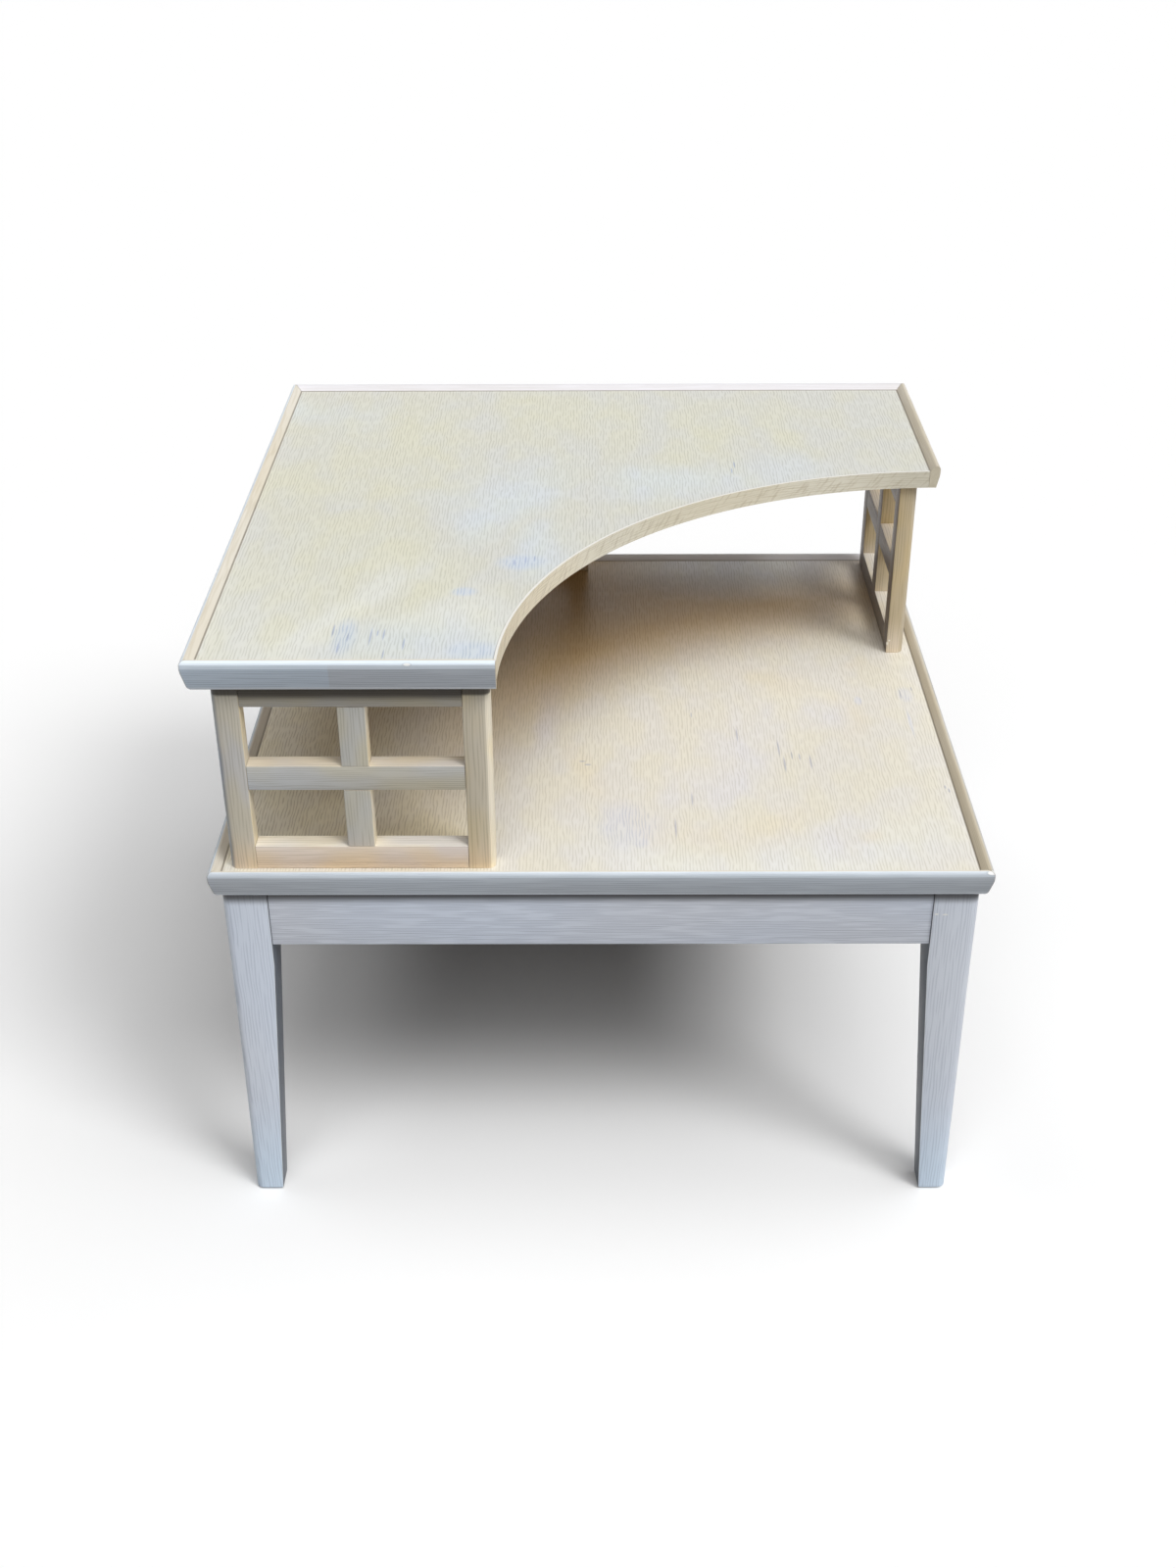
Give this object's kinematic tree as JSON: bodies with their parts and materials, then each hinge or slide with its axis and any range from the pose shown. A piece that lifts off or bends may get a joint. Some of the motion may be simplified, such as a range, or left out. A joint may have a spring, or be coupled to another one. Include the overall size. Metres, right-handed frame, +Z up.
{
  "type": "tiered corner table",
  "caption": "Square corner table in limed oak with an L-shaped upper tier, its front corner cut out in a quarter circle, carried above the lower deck on open lattices.",
  "frame": {"origin": "on the floor, under the middle of the square table", "axes": "+Z up, -Y towards the front that the picture shows, +X to the right; the cut-out is at the +X -Y corner"},
  "size_m": [0.762, 0.762, 0.6442],
  "materials": {
    "deck_oak": "limed oak veneer, satin lacquer",
    "edge_oak": "limed oak, satin lacquer",
    "band_oak": "limed oak edge strip, satin lacquer",
    "base_oak": "limed oak, satin lacquer",
    "lattice_oak": "limed oak, satin lacquer",
    "inner_wood": "raw hardwood",
    "screw_steel": "plain steel"
  },
  "bodies": {
    "root": {"leg_front_left": "base_oak", "leg_front_right": "base_oak", "leg_back_right": "base_oak", "leg_back_left": "base_oak", "apron_front": "base_oak", "apron_right": "base_oak", "apron_back": "base_oak", "apron_left": "base_oak", "corner_block_front_left": "inner_wood", "block_screw_front_left": "screw_steel", "corner_block_front_right": "inner_wood", "block_screw_front_right": "screw_steel", "corner_block_back_right": "inner_wood", "block_screw_back_right": "screw_steel", "corner_block_back_left": "inner_wood", "block_screw_back_left": "screw_steel", "lower_panel": "deck_oak", "lower_edge_front": "edge_oak", "lower_edge_right": "edge_oak", "lower_edge_back": "edge_oak", "lower_edge_left": "edge_oak", "front_lattice_left_stile": "lattice_oak", "front_lattice_right_stile": "lattice_oak", "front_lattice_bottom_rail": "lattice_oak", "front_lattice_mid_rail": "lattice_oak", "front_lattice_top_rail": "lattice_oak", "front_lattice_muntin": "lattice_oak", "front_lattice_left_foot_dowel": "inner_wood", "front_lattice_right_foot_dowel": "inner_wood", "front_lattice_left_head_dowel": "inner_wood", "front_lattice_right_head_dowel": "inner_wood", "right_lattice_left_stile": "lattice_oak", "right_lattice_right_stile": "lattice_oak", "right_lattice_bottom_rail": "lattice_oak", "right_lattice_mid_rail": "lattice_oak", "right_lattice_top_rail": "lattice_oak", "right_lattice_muntin": "lattice_oak", "right_lattice_left_foot_dowel": "inner_wood", "right_lattice_right_foot_dowel": "inner_wood", "right_lattice_left_head_dowel": "inner_wood", "right_lattice_right_head_dowel": "inner_wood", "back_lattice_left_stile": "lattice_oak", "back_lattice_right_stile": "lattice_oak", "back_lattice_bottom_rail": "lattice_oak", "back_lattice_mid_rail": "lattice_oak", "back_lattice_top_rail": "lattice_oak", "back_lattice_muntin": "lattice_oak", "back_lattice_left_foot_dowel": "inner_wood", "back_lattice_right_foot_dowel": "inner_wood", "back_lattice_left_head_dowel": "inner_wood", "back_lattice_right_head_dowel": "inner_wood", "upper_panel": "deck_oak", "cutout_band": "band_oak", "upper_edge_front": "edge_oak", "upper_edge_right": "edge_oak", "upper_edge_back": "edge_oak", "upper_edge_left": "edge_oak"}
  },
  "joints": []
}
